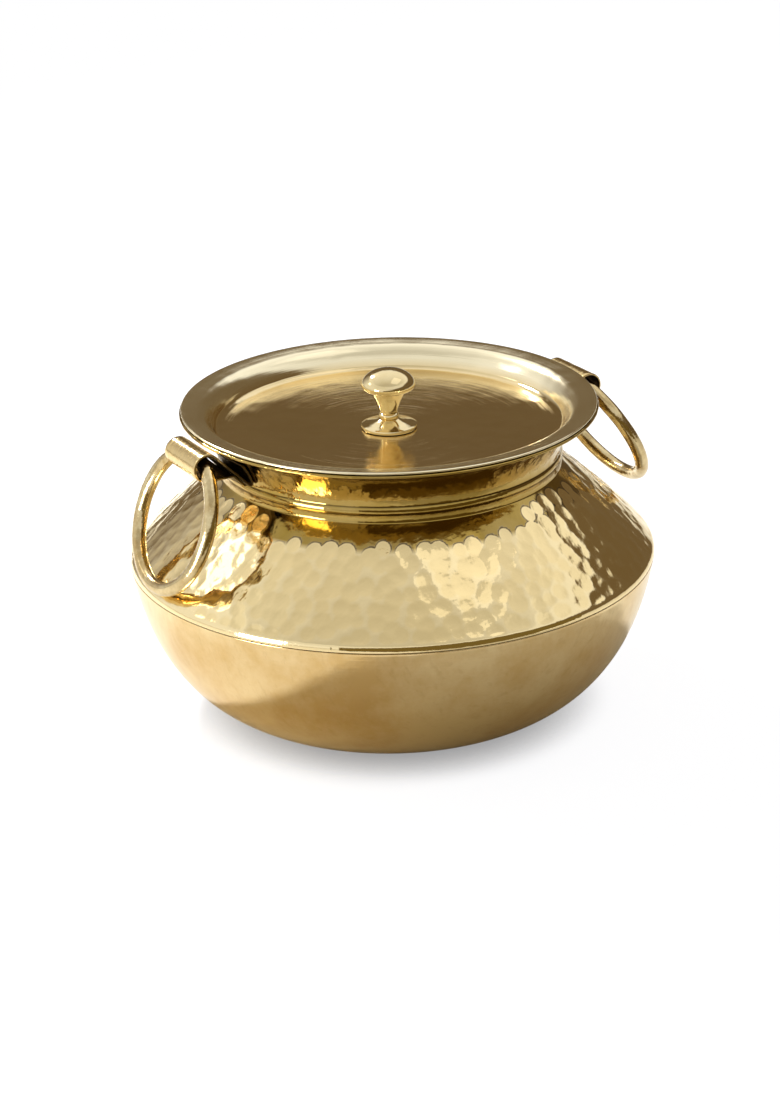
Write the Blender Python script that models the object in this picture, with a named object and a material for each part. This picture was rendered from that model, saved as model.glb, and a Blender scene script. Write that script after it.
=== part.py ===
"""Brass cooking pot with a dished lid and two ring handles.

The bowl and the shoulder are two spun shells, lapped and brazed at the belly. The lid hangs in
the flared neck by its flange and lifts straight off. Each ring swings in the rolled eye of a
strap brazed to the neck. Metres, +Z up, origin at the middle of the flat foot.
"""

import math

import bmesh
import bpy
from mathutils import Matrix, Vector
from mathutils.geometry import interpolate_bezier, intersect_point_line

# Pot: driving sizes, from the belly inwards and from the foot upwards
BELLY_RADIUS = 0.1300
FOOT_RADIUS = 0.0570
SHOULDER_WIDTH = 0.0460
FLARE_WIDTH = 0.0183
BOWL_HEIGHT = 0.0787
SHOULDER_RISE = 0.0481
NECK_FLAT = 0.0018
FLARE_RISE = 0.0215
BOWL_WALL = 0.0015
SHELL_WALL = 0.0014
SEAM_GAP = 0.0003

# Bowl curve, as shares of the way out from foot to belly and up to the bowl's height
BOWL_CURVE_SHARES = ((0.0, 0.0), (0.652, 0.0245), (0.916, 0.514), (1.0, 1.0))

# Lap seam at the belly
LIP_HEIGHT = 0.0024
LIP_JOGGLE = 0.0026
SKIRT_HEIGHT = 0.0029
SKIRT_ROUND = 0.0017
SHOULDER_START_SLOPE = math.radians(50)

# Neck and its bead
NECK_RADIUS = BELLY_RADIUS - SHOULDER_WIDTH
NECK_BASE_HEIGHT = BOWL_HEIGHT + SHOULDER_RISE
NECK_FILLET = 0.0045
SHOULDER_END_SLOPE = math.radians(41.8)
SHOULDER_PULL_SHARE = 0.25
BEAD_WIDTH = 0.0040
BEAD_RISE = 0.0010
BEAD_FLAT = 0.0006
BEAD_HEIGHT = NECK_BASE_HEIGHT + NECK_FLAT + BEAD_WIDTH / 2

# Flare and rim
FLARE_START_HEIGHT = BEAD_HEIGHT + BEAD_WIDTH / 2 + BEAD_FLAT
RIM_RADIUS = NECK_RADIUS + FLARE_WIDTH
RIM_HEIGHT = FLARE_START_HEIGHT + FLARE_RISE
RIM_LIP_WIDTH = 0.0028
RIM_SLOPE = math.radians(7)
FLARE_CURVE_SHARES = ((0.0, 0.0), (0.02, 0.28), (0.42, 0.93), (1.0, 1.0))

# Lid
LID_EDGE_INSET = 0.0008
LID_SHEET = 0.0012
LID_SEAT_GAP = 0.0003
FLANGE_WIDTH = 0.0080
FLANGE_RISE = 0.0004
TRAY_CLEARANCE = 0.0015
TRAY_DEPTH = 0.0116
TRAY_SAG = 0.0022
TRAY_FOLD_RADIUS = 0.0012
TRAY_WALL_SHARES = ((0.0, 0.0), (0.16, 0.30), (0.42, 0.95), (1.0, 1.0))

# Knob, with its outline in shares of the radius beside it and of the knob's height
KNOB_BASE_RADIUS = 0.01375
KNOB_HEIGHT = 0.0298
KNOB_CAP_RADIUS = 0.0132
KNOB_NECK_RADIUS = 0.0043
KNOB_COLLAR_RADIUS = 0.0050
KNOB_BASE_SHARES = ((0.96, 0.0), (1.0, 0.012), (1.0, 0.045), (0.955, 0.060))
KNOB_SPREAD_TOP_SHARE = 0.152
KNOB_SPREAD_SHARES = ((0.0, 0.0), (0.43, 0.27), (0.84, 0.60), (1.0, 1.0))
KNOB_COLLAR_HEIGHT_SHARE = 0.205
KNOB_COLLAR_TUBE_SHARE = 0.048
KNOB_COLLAR_REACH = math.radians(72)
KNOB_NECK_HEIGHT_SHARE = 0.27
KNOB_STEM_TOP_SHARES = (0.64, 0.62)
KNOB_STEM_SHARES = ((0.0, 0.0), (0.05, 0.26), (0.745, 0.77), (1.0, 1.0))
KNOB_LIP_SHARES = ((0.90, 0.665), (0.985, 0.70), (1.0, 0.725))

# Screw and washer that hold the knob from below
SCREW_RADIUS = 0.0020
SCREW_HEAD_RADIUS = 0.0040
SCREW_HEAD_HEIGHT = 0.0022
SCREW_REACH = 0.0090
SCREW_CLEARANCE = 0.0003
SCREW_TIP_SHARE = 0.25
SCREW_STACK_GAPS = 3
WASHER_RADIUS = 0.0060
WASHER_THICKNESS = 0.0010

# Ring handles
RING_RADIUS = 0.0330
ROD_RADIUS = 0.00345
RING_PLAY = 0.0002
ROD_CLEARANCE = 0.00035
RING_REST_GAP = 0.0003
RIGHT_RING_STAND_OFF = math.radians(8.5)

# Handle straps: the rolled eye is just wide enough for the bend of the rod inside it
STRAP_WIDTH = 0.0315
STRAP_SHEET = 0.0010
ROD_BEND_TOP = RING_RADIUS + ROD_RADIUS
ROD_BEND_BOTTOM = math.sqrt((RING_RADIUS - ROD_RADIUS) ** 2 - (STRAP_WIDTH / 2) ** 2)
EYE_BORE_RADIUS = (ROD_BEND_TOP - ROD_BEND_BOTTOM + RING_PLAY + ROD_CLEARANCE) / 2
EYE_OUTER_RADIUS = EYE_BORE_RADIUS + STRAP_SHEET
EYE_TUCK = 0.0023
EYE_DROP = 0.0004
EYE_CENTRE_RADIUS = RIM_RADIUS + EYE_OUTER_RADIUS - EYE_TUCK
EYE_CENTRE_HEIGHT = RIM_HEIGHT - EYE_OUTER_RADIUS - EYE_DROP
RING_HANG = RING_RADIUS - (EYE_BORE_RADIUS - ROD_RADIUS - RING_PLAY)
TAB_TOP_DROP = 0.0087
FOLD_STAND = 0.0025
FOLD_RADIUS = 0.0008
LEAF_GAP = 0.00035
LEAF_END_STAND = 0.0016
KNEE_RADIUS = 0.0015

# Facets
TURNED_STEPS = 48
KNOB_STEPS = 24
RING_STEPS = 40
ROD_STEPS = 10
STRAP_STEPS = 6
BOWL_STEPS = 12
CONE_STEPS = 5
FILLET_STEPS = 3
FLARE_STEPS = 6
NECK_LOOKUP_STEPS = 24
BEAD_STEPS = 4
EDGE_STEPS = 4
SOFT_CORNER_STEPS = 2
DISH_STEPS = 4
TRAY_WALL_STEPS = 6
KNOB_SPREAD_STEPS = 3
KNOB_COLLAR_STEPS = 4
KNOB_STEM_STEPS = 4
KNOB_DOME_STEPS = 6
SCREW_HEAD_STEPS = 4
TAB_STEPS = 3
FOLD_STEPS = 5
EYE_STEPS = 15
KNEE_STEPS = 3
LEAN_SEARCH_STEPS = 40
SHARP_ANGLE = math.radians(35)
WELD = 0.00001


def clear_scene():
    for thing in list(bpy.data.objects):
        bpy.data.objects.remove(thing, do_unlink=True)


def brass(name, colour, roughness):
    """A Principled material for one finish of the brass."""
    material = bpy.data.materials.new(name)
    material.use_nodes = True
    shader = material.node_tree.nodes["Principled BSDF"]
    shader.inputs["Base Color"].default_value = (*colour, 1)
    shader.inputs["Metallic"].default_value = 1
    shader.inputs["Roughness"].default_value = roughness
    return material


def polar(centre, radius, angle):
    return Vector(centre) + radius * Vector((math.cos(angle), math.sin(angle)))


def arc(centre, radius, start, end, steps):
    """Points on a circle from one angle to another, both ends included."""
    return [polar(centre, radius, start + (end - start) * i / steps) for i in range(steps + 1)]


def curve(shares, start, end, steps):
    """A Bezier run whose four points are shares of the way from start to end."""
    start, end = Vector(start), Vector(end)
    points = [start + (end - start) * Vector(share) for share in shares]
    return bezier(*points, steps)


def bezier(first, first_handle, last_handle, last, steps):
    points = [Vector((*point, 0)) for point in (first, first_handle, last_handle, last)]
    return [point.xy for point in interpolate_bezier(*points, steps + 1)]


def offset(path, distance):
    """The path moved sideways, to its left where distance is positive."""
    moved = []
    for i, point in enumerate(path):
        before = path[max(i - 1, 0)]
        after = path[min(i + 1, len(path) - 1)]
        runs = [run.normalized() for run in (point - before, after - point) if run.length > 0]
        normals = [Vector((-run.y, run.x)) for run in runs]
        middle = sum(normals, Vector((0, 0))).normalized()
        moved.append(point + middle * distance / middle.dot(normals[0]))
    return moved


def rounded_corner(before, corner, after, radius, steps):
    """The arc that joins the runs before-corner and corner-after."""
    back = (Vector(before) - Vector(corner)).normalized()
    ahead = (Vector(after) - Vector(corner)).normalized()
    half = back.angle(ahead) / 2
    centre = Vector(corner) + (back + ahead).normalized() * radius / math.sin(half)
    start = Vector(corner) + back * radius / math.tan(half)
    end = Vector(corner) + ahead * radius / math.tan(half)
    from_angle = math.atan2(*reversed(start - centre))
    to_angle = math.atan2(*reversed(end - centre))
    sweep = (to_angle - from_angle + math.pi) % math.tau - math.pi
    return arc(centre, radius, from_angle, from_angle + sweep, steps)


def radius_at(path, height, otherwise):
    """Radius of a rising path at a height, or the other value above and below it."""
    for low, high in zip(path, path[1:]):
        if low.y <= height <= high.y:
            return low.x + (high.x - low.x) * (height - low.y) / (high.y - low.y)
    return otherwise


def gap_to_path(point, path):
    gaps = []
    for start, end in zip(path, path[1:]):
        nearest, share = intersect_point_line(point, start, end)
        nearest = start + (end - start) * min(max(share, 0), 1)
        gaps.append((point - nearest).length)
    return min(gaps)


def add_object(name, mesh, material, place=(0, 0, 0), parent=None):
    mesh.materials.append(material)
    mesh.shade_smooth()
    mesh.set_sharp_from_angle(angle=SHARP_ANGLE)
    thing = bpy.data.objects.new(name, mesh)
    thing.location = place
    thing.parent = parent
    bpy.context.scene.collection.objects.link(thing)
    return thing


def add_empty(name, place):
    empty = bpy.data.objects.new(name, None)
    empty.location = place
    bpy.context.scene.collection.objects.link(empty)
    return empty


def turned_mesh(name, outline, steps):
    """Spins an outline of radius and height about Z. One that starts and ends on the axis stays
    open there, and any other is closed into a loop first."""
    bm = bmesh.new()
    verts = [bm.verts.new((point[0], 0, point[1])) for point in outline]
    edges = [bm.edges.new(pair) for pair in zip(verts, verts[1:])]
    if outline[0][0] > 0:
        edges.append(bm.edges.new((verts[-1], verts[0])))
    bmesh.ops.spin(
        bm, geom=verts + edges, cent=(0, 0, 0), axis=(0, 0, 1),
        angle=math.tau, steps=steps, use_merge=True,
    )
    bmesh.ops.remove_doubles(bm, verts=bm.verts[:], dist=WELD)
    bmesh.ops.recalc_face_normals(bm, faces=bm.faces[:])
    mesh = bpy.data.meshes.new(name)
    bm.to_mesh(mesh)
    bm.free()
    return mesh


def bowl_outline():
    """Flat foot, full rounded side, and a lip set in by the shoulder's wall at the top."""
    start, end = (FOOT_RADIUS, 0), (BELLY_RADIUS, BOWL_HEIGHT)
    side = curve(BOWL_CURVE_SHARES, start, end, BOWL_STEPS)
    inside = offset([Vector((0, 0))] + side, BOWL_WALL)
    lip_radius = BELLY_RADIUS - SHELL_WALL - SEAM_GAP
    lip_top = BOWL_HEIGHT + LIP_HEIGHT
    lip = [
        Vector((lip_radius, BOWL_HEIGHT)),
        Vector((lip_radius, lip_top)),
        Vector((lip_radius - BOWL_WALL, lip_top)),
        Vector((lip_radius - BOWL_WALL, BOWL_HEIGHT)),
    ]
    below_joggle = [point for point in inside[1:] if point.y < BOWL_HEIGHT - LIP_JOGGLE]
    floor = Vector((0, BOWL_WALL))
    return [Vector((0, 0))] + side + lip + below_joggle[::-1] + [floor]


def shoulder_side():
    """The outer face from the bottom of the skirt to the foot of the neck."""
    skirt_bottom = Vector((BELLY_RADIUS, BOWL_HEIGHT + SEAM_GAP))
    skirt_centre = (BELLY_RADIUS - SKIRT_ROUND, skirt_bottom.y + SKIRT_HEIGHT)
    skirt_sweep = math.pi / 2 - SHOULDER_START_SLOPE
    skirt = arc(skirt_centre, SKIRT_ROUND, 0, skirt_sweep, SOFT_CORNER_STEPS)
    fillet_centre = (NECK_RADIUS + NECK_FILLET, NECK_BASE_HEIGHT)
    fillet_start = 3 * math.pi / 2 - SHOULDER_END_SLOPE
    fillet = arc(fillet_centre, NECK_FILLET, fillet_start, math.pi, FILLET_STEPS)
    pull = (fillet[0] - skirt[-1]).length * SHOULDER_PULL_SHARE
    leave = skirt[-1] + polar((0, 0), pull, math.pi - SHOULDER_START_SLOPE)
    arrive = fillet[0] - polar((0, 0), pull, math.pi - SHOULDER_END_SLOPE)
    cone = bezier(skirt[-1], leave, arrive, fillet[0], CONE_STEPS)
    return [skirt_bottom] + skirt + cone[1:-1] + fillet


def flare_side(steps):
    """The outer face of the neck above the bead, out to where the rim's lip starts."""
    drop = RIM_LIP_WIDTH * math.tan(RIM_SLOPE)
    lip_start = (RIM_RADIUS - RIM_LIP_WIDTH, RIM_HEIGHT - SHELL_WALL - drop)
    return curve(FLARE_CURVE_SHARES, (NECK_RADIUS, FLARE_START_HEIGHT), lip_start, steps)


def bead_side():
    """The half round bead rolled into the neck."""
    half = BEAD_WIDTH / 2
    radius = (half**2 + BEAD_RISE**2) / (2 * BEAD_RISE)
    reach = math.asin(half / radius)
    centre = (NECK_RADIUS + BEAD_RISE - radius, BEAD_HEIGHT)
    return arc(centre, radius, -reach, reach, BEAD_STEPS)


def shoulder_outline():
    """Skirt, cone, neck, bead, flare and rounded rim, one wall thick all the way."""
    edge_radius = SHELL_WALL / 2
    edge_centre = Vector((RIM_RADIUS - edge_radius, RIM_HEIGHT - edge_radius))
    side = shoulder_side()
    flare = flare_side(FLARE_STEPS)
    edge = arc(edge_centre, edge_radius, -math.pi / 2, math.pi / 2, EDGE_STEPS)
    inside = offset(side + flare + edge[:1], SHELL_WALL)
    return side + bead_side() + flare + edge + inside[-2::-1]


def tray_radius():
    """The lid's tray hangs inside the flare, clear of it by the named gap."""
    underside = RIM_HEIGHT + LID_SEAT_GAP - TRAY_DEPTH
    neck = radius_at(flare_side(NECK_LOOKUP_STEPS), underside, NECK_RADIUS)
    return neck - SHELL_WALL - TRAY_CLEARANCE


def lid_outline():
    """Dished tray, S-shaped tray wall and flat flange in one sheet, with a hole for the screw."""
    seat = RIM_HEIGHT + LID_SEAT_GAP
    lid_radius = RIM_RADIUS - LID_EDGE_INSET
    edge_radius = LID_SHEET / 2
    edge_centre = Vector((lid_radius - edge_radius, seat + edge_radius))
    flange_start = Vector((lid_radius - FLANGE_WIDTH, seat + LID_SHEET - FLANGE_RISE))
    tray_edge = Vector((tray_radius(), seat + LID_SHEET - TRAY_DEPTH))
    tray_middle = Vector((SCREW_RADIUS + SCREW_CLEARANCE, tray_edge.y - TRAY_SAG))
    wall = curve(TRAY_WALL_SHARES, tray_edge, flange_start, TRAY_WALL_STEPS)
    dish_radius = (tray_edge.x**2 + TRAY_SAG**2) / (2 * TRAY_SAG)
    dish_centre = Vector((0, tray_middle.y + dish_radius))
    dish_end = math.asin(tray_edge.x / dish_radius) - math.pi / 2
    dish = arc(dish_centre, dish_radius, -math.pi / 2, dish_end, DISH_STEPS)
    fold = rounded_corner(dish[-2], tray_edge, wall[1], TRAY_FOLD_RADIUS, SOFT_CORNER_STEPS)
    edge = arc(edge_centre, edge_radius, math.pi / 2, -math.pi / 2, EDGE_STEPS)
    top = [tray_middle] + dish[1:-1] + fold + wall[1:] + edge[:1]
    under = offset(top, -LID_SHEET)
    return top + edge[1:] + under[-2::-1]


def knob_points(shares, radius):
    return [Vector((radius * out, KNOB_HEIGHT * up)) for out, up in shares]


def knob_outline():
    """Solid turned knob: spread base, collar, waisted stem and domed cap, drilled from below."""
    hole_radius = SCREW_RADIUS + SCREW_CLEARANCE
    hole_depth = SCREW_REACH + SCREW_CLEARANCE
    hole = [Vector((0, hole_depth)), Vector((hole_radius, hole_depth)), Vector((hole_radius, 0))]
    base = knob_points(KNOB_BASE_SHARES, KNOB_BASE_RADIUS)
    spread_top = Vector((KNOB_COLLAR_RADIUS, KNOB_HEIGHT * KNOB_SPREAD_TOP_SHARE))
    spread = curve(KNOB_SPREAD_SHARES, base[-1], spread_top, KNOB_SPREAD_STEPS)
    tube = KNOB_HEIGHT * KNOB_COLLAR_TUBE_SHARE
    centre = (KNOB_COLLAR_RADIUS - tube, KNOB_HEIGHT * KNOB_COLLAR_HEIGHT_SHARE)
    collar = arc(centre, tube, -KNOB_COLLAR_REACH, KNOB_COLLAR_REACH, KNOB_COLLAR_STEPS)
    stem_foot = Vector((KNOB_NECK_RADIUS, KNOB_HEIGHT * KNOB_NECK_HEIGHT_SHARE))
    stem_top = knob_points([KNOB_STEM_TOP_SHARES], KNOB_CAP_RADIUS)[0]
    stem = curve(KNOB_STEM_SHARES, stem_foot, stem_top, KNOB_STEM_STEPS)
    lip = knob_points(KNOB_LIP_SHARES, KNOB_CAP_RADIUS)
    dome_rise = Vector((1, (KNOB_HEIGHT - lip[-1].y) / KNOB_CAP_RADIUS))
    dome = arc((0, 0), KNOB_CAP_RADIUS, 0, math.pi / 2, KNOB_DOME_STEPS)
    dome = [point * dome_rise + Vector((0, lip[-1].y)) for point in dome[1:]]
    dome[-1].x = 0
    return hole + base + spread[1:] + collar + stem + lip + dome


def screw_outline():
    """Round head below, plain shank above: the thread isn't modelled."""
    head_shape = Vector((1, SCREW_HEAD_HEIGHT / SCREW_HEAD_RADIUS))
    head = arc((0, 0), SCREW_HEAD_RADIUS, -math.pi / 2, 0, SCREW_HEAD_STEPS)
    head = [point * head_shape for point in head]
    head[0].x = 0
    length = SCREW_REACH + LID_SHEET + WASHER_THICKNESS + SEAM_GAP * SCREW_STACK_GAPS
    tip = SCREW_RADIUS * SCREW_TIP_SHARE
    shank = [
        Vector((SCREW_RADIUS, 0)),
        Vector((SCREW_RADIUS, length - tip)),
        Vector((SCREW_RADIUS - tip, length)),
        Vector((0, length)),
    ]
    return head + shank


def washer_outline():
    bore = SCREW_RADIUS + SCREW_CLEARANCE
    return [
        Vector((bore, 0)),
        Vector((WASHER_RADIUS, 0)),
        Vector((WASHER_RADIUS, WASHER_THICKNESS)),
        Vector((bore, WASHER_THICKNESS)),
    ]


def strap_path():
    """The strap's middle line seen from the side, as runs of radius and height: the tab on the
    neck, and then from the fold on the upper leaf, the eye and the lower leaf."""
    neck = flare_side(NECK_LOOKUP_STEPS)
    tab_top = RIM_HEIGHT - TAB_TOP_DROP
    fold_height = FLARE_START_HEIGHT + FOLD_STAND
    tab = []
    for i in range(TAB_STEPS + 1):
        height = tab_top + (fold_height - tab_top) * i / TAB_STEPS
        tab.append(Vector((radius_at(neck, height, NECK_RADIUS), height)))
    tab = offset(tab, SEAM_GAP + STRAP_SHEET / 2)

    # The upper leaf is the straight line that leaves the fold and runs over the eye
    up_tab = (tab[-2] - tab[-1]).normalized()
    fold_centre = tab[-1] + Vector((up_tab.y, -up_tab.x)) * FOLD_RADIUS
    eye_centre = Vector((EYE_CENTRE_RADIUS, EYE_CENTRE_HEIGHT))
    eye_radius = EYE_BORE_RADIUS + STRAP_SHEET / 2
    reach = eye_centre - fold_centre
    slope = math.atan2(reach.y, reach.x) + math.asin((FOLD_RADIUS + eye_radius) / reach.length)
    fold_start = math.atan2(up_tab.x, -up_tab.y) % math.tau
    fold_end = slope + 3 * math.pi / 2
    fold = arc(fold_centre, FOLD_RADIUS, fold_start, fold_end, FOLD_STEPS)
    eye = arc(eye_centre, eye_radius, slope + math.pi / 2, -math.pi / 2, EYE_STEPS)

    lower_start = polar(eye[0], STRAP_SHEET + LEAF_GAP, slope - math.pi / 2)
    leaf_end_height = FLARE_START_HEIGHT + LEAF_END_STAND
    knee_x = lower_start.x - (lower_start.y - eye[-1].y) / math.tan(slope)
    end_x = lower_start.x - (lower_start.y - leaf_end_height) / math.tan(slope)
    lower_end = Vector((end_x, leaf_end_height))
    knee = rounded_corner(eye[-1], (knee_x, eye[-1].y), lower_end, KNEE_RADIUS, KNEE_STEPS)
    return tab, fold[1:] + [(fold[-1] + eye[0]) / 2] + eye + knee + [lower_end]


def strap_mesh(name):
    """The strip's middle surface: straight across at the eye, and bowed to the neck at the tab."""
    tab, rest = strap_path()
    straight_from = EYE_CENTRE_RADIUS - EYE_OUTER_RADIUS
    bowed_to = min(point.x for point in rest)
    rows = [(point, 1) for point in tab]
    for point in rest:
        bow = (straight_from - point.x) / (straight_from - bowed_to)
        rows.append((point, min(max(bow, 0), 1)))
    bm = bmesh.new()
    grid = []
    for point, bow in rows:
        row = []
        for i in range(STRAP_STEPS + 1):
            across = STRAP_WIDTH * (i / STRAP_STEPS - 0.5)
            drop = point.x - math.sqrt(point.x**2 - across**2)
            row.append(bm.verts.new((point.x - drop * bow, across, point.y)))
        grid.append(row)
    for near, far in zip(grid, grid[1:]):
        for i in range(STRAP_STEPS):
            bm.faces.new((near[i], near[i + 1], far[i + 1], far[i]))
    mesh = bpy.data.meshes.new(name)
    bm.to_mesh(mesh)
    bm.free()
    return mesh


def ring_mesh(name):
    """A bent rod, hung below its own origin, which is the middle of the strap's eye."""
    bpy.ops.mesh.primitive_torus_add(
        major_radius=RING_RADIUS, minor_radius=ROD_RADIUS,
        major_segments=RING_STEPS, minor_segments=ROD_STEPS,
    )
    torus = bpy.context.object
    mesh = torus.data
    mesh.name = name
    mesh.transform(Matrix.Rotation(math.pi / 2, 4, "Y"))
    mesh.transform(Matrix.Translation((0, 0, -RING_HANG)))
    bpy.data.objects.remove(torus)
    return mesh


def resting_lean():
    """How far a ring leans outward from straight down when its rod lies on the shoulder."""
    side = shoulder_side()
    eye = (EYE_CENTRE_RADIUS, EYE_CENTRE_HEIGHT)
    wanted = ROD_RADIUS + RING_REST_GAP
    low, high = 0, math.pi / 2
    for _ in range(LEAN_SEARCH_STEPS):
        lean = (low + high) / 2
        rod = polar(eye, RING_HANG + RING_RADIUS, lean - math.pi / 2)
        if gap_to_path(rod, side) < wanted or rod.x < radius_at(side, rod.y, 0):
            low = lean
        else:
            high = lean
    return high


def build_pot(satin, hammered):
    add_object("lower_bowl", turned_mesh("lower_bowl", bowl_outline(), TURNED_STEPS), satin)
    add_object("shoulder", turned_mesh("shoulder", shoulder_outline(), TURNED_STEPS), hammered)


def build_lid(polished, satin):
    """Every lid piece hangs from an empty on the lid's lift line, at the rim."""
    lift = add_empty("lid_lift_line", (0, 0, RIM_HEIGHT))
    plate = turned_mesh("lid_plate", lid_outline(), TURNED_STEPS)
    plate.transform(Matrix.Translation((0, 0, -RIM_HEIGHT)))
    add_object("lid_plate", plate, polished, parent=lift)
    middle_top = LID_SEAT_GAP + LID_SHEET - TRAY_DEPTH - TRAY_SAG
    knob = turned_mesh("lid_knob", knob_outline(), KNOB_STEPS)
    add_object("lid_knob", knob, polished, (0, 0, middle_top + SEAM_GAP), lift)
    washer_seat = middle_top - LID_SHEET - SEAM_GAP - WASHER_THICKNESS
    washer = turned_mesh("knob_washer", washer_outline(), KNOB_STEPS)
    add_object("knob_washer", washer, satin, (0, 0, washer_seat), lift)
    screw = turned_mesh("knob_screw", screw_outline(), KNOB_STEPS)
    add_object("knob_screw", screw, satin, (0, 0, washer_seat - SEAM_GAP), lift)


def build_handle(side, turn, stand_off, satin, polished):
    """A strap and its ring. The right handle points along +X and the left along -X."""
    strap = add_object(f"handle_strap_{side}", strap_mesh(f"handle_strap_{side}"), polished)
    strap.rotation_euler.z = turn
    sheet = strap.modifiers.new("sheet", "SOLIDIFY")
    sheet.thickness = STRAP_SHEET
    sheet.offset = 0
    sheet.use_even_offset = True
    eye = Vector((EYE_CENTRE_RADIUS * math.cos(turn), 0, EYE_CENTRE_HEIGHT))
    ring = add_object(f"ring_handle_{side}", ring_mesh(f"ring_handle_{side}"), satin, eye)
    ring.rotation_euler = (0, -resting_lean() - stand_off, turn)


def build():
    clear_scene()
    satin = brass("satin_brass", (0.62, 0.42, 0.17), 0.32)
    hammered = brass("hammered_brass", (0.70, 0.50, 0.20), 0.18)
    polished = brass("polished_brass", (0.74, 0.55, 0.26), 0.12)
    build_pot(satin, hammered)
    build_lid(polished, satin)
    build_handle("right", 0, RIGHT_RING_STAND_OFF, satin, polished)
    build_handle("left", math.pi, 0, satin, polished)


build()
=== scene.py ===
"""The looks of the brass cooking pot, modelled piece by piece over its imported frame."""

import math
import random

import bpy
import numpy as np
from mathutils import Matrix, Vector
from mathutils.geometry import interpolate_bezier


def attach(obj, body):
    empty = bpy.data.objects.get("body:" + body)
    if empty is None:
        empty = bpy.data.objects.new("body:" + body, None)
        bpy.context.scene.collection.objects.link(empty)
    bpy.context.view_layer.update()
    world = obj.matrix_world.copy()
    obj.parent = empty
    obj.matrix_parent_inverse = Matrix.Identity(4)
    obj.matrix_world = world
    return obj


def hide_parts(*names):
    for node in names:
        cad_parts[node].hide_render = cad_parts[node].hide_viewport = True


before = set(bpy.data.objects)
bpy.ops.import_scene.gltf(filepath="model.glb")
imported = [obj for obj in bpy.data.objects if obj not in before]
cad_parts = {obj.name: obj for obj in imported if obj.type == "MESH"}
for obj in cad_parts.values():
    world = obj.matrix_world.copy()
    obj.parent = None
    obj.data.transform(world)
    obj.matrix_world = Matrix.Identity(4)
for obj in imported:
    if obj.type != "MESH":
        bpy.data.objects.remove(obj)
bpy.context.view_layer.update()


# The bowl: one disc of 1.5 mm brass sheet, spun over a former into a full round side and a flat
# foot. Its top edge is set in by the shoulder's thickness, and the shoulder laps over it there.
# The outside is buffed to a soft sheen that still shows the fine rings of the spinning.
BELLY_RADIUS = 0.1300
FOOT_RADIUS = 0.0570
BOWL_HEIGHT = 0.0787
BOWL_WALL = 0.0015
SHELL_WALL = 0.0014
SEAM_GAP = 0.0003
LIP_HEIGHT = 0.0024
LIP_JOGGLE = 0.0026
SEAM_EDGE_ROUND = 0.00025
BOWL_CURVE_SHARES = ((0.0, 0.0), (0.652, 0.0245), (0.916, 0.514), (1.0, 1.0))
BOWL_SIDE_STEPS = 72
BOWL_TURN_STEPS = 256
SEAM_EDGE_STEPS = 4
SHARP_ANGLE = math.radians(40)
DRAWN_POINT = 0.0001
MERGE_DISTANCE = 0.000002


def arc(centre, radius, start, end, steps):
    """Points on a circle from one angle to another, both ends included."""
    points = []
    for i in range(steps + 1):
        angle = start + (end - start) * i / steps
        points.append(Vector(centre) + radius * Vector((math.cos(angle), math.sin(angle))))
    return points


def curve(shares, start, end, steps):
    """A Bezier run whose four points are shares of the way from start to end."""
    start, end = Vector(start), Vector(end)
    points = [Vector((*(start + (end - start) * Vector(share)), 0)) for share in shares]
    return [point.xy for point in interpolate_bezier(*points, steps + 1)]


def sideways(path, distance):
    """The path moved to its left where distance is positive, and to its right where negative."""
    moved = []
    for i, point in enumerate(path):
        before = path[max(i - 1, 0)]
        after = path[min(i + 1, len(path) - 1)]
        runs = [run.normalized() for run in (point - before, after - point) if run.length > 0]
        normals = [Vector((-run.y, run.x)) for run in runs]
        middle = sum(normals, Vector((0, 0))).normalized()
        moved.append(point + middle * distance / middle.dot(normals[0]))
    return moved


def drawn_outline(name, outline, closed):
    """Draws an outline of radius and height, by extruding one point from each place to the next."""
    bpy.ops.object.select_all(action="DESELECT")
    start = (outline[0].x, 0, outline[0].y)
    bpy.ops.mesh.primitive_plane_add(size=DRAWN_POINT, location=start)
    bpy.ops.object.transform_apply(location=True)
    piece = bpy.context.object
    piece.name = name
    bpy.ops.object.mode_set(mode="EDIT")
    bpy.ops.mesh.merge(type="CENTER")
    path = outline + outline[:1] if closed else outline
    for here, there in zip(path, path[1:]):
        step = (there.x - here.x, 0, there.y - here.y)
        bpy.ops.mesh.extrude_region_move(TRANSFORM_OT_translate={"value": step})
    bpy.ops.mesh.select_all(action="SELECT")
    return piece


def turned_piece(name, outline, steps, closed=False):
    """Turns an outline once round the pot's axis, as the sheet turns on the spinning lathe."""
    piece = drawn_outline(name, outline, closed)
    bpy.ops.object.mode_set(mode="OBJECT")
    turn = piece.modifiers.new("turn", "SCREW")
    turn.steps = turn.render_steps = steps
    bpy.ops.object.modifier_apply(modifier="turn")
    bpy.ops.object.mode_set(mode="EDIT")
    bpy.ops.mesh.select_all(action="SELECT")
    bpy.ops.mesh.remove_doubles(threshold=MERGE_DISTANCE)
    bpy.ops.mesh.normals_make_consistent(inside=False)
    bpy.ops.object.mode_set(mode="OBJECT")
    bpy.ops.object.shade_smooth_by_angle(angle=SHARP_ANGLE)
    return piece


def linear(hex_colour):
    """An sRGB hex colour as the linear colour that a shader takes."""
    channels = [int(hex_colour[i:i + 2], 16) / 255 for i in (1, 3, 5)]
    return (*[c / 12.92 if c <= 0.04045 else ((c + 0.055) / 1.055) ** 2.4 for c in channels], 1)


def add_node(material, kind, sockets, **settings):
    """Adds one node. Each socket is given a plain value, or another node's output."""
    node = material.node_tree.nodes.new(kind)
    for setting, value in settings.items():
        setattr(node, setting, value)
    for socket, value in sockets.items():
        if isinstance(value, bpy.types.NodeSocket):
            material.node_tree.links.new(value, node.inputs[socket])
        else:
            node.inputs[socket].default_value = value
    return node


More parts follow.
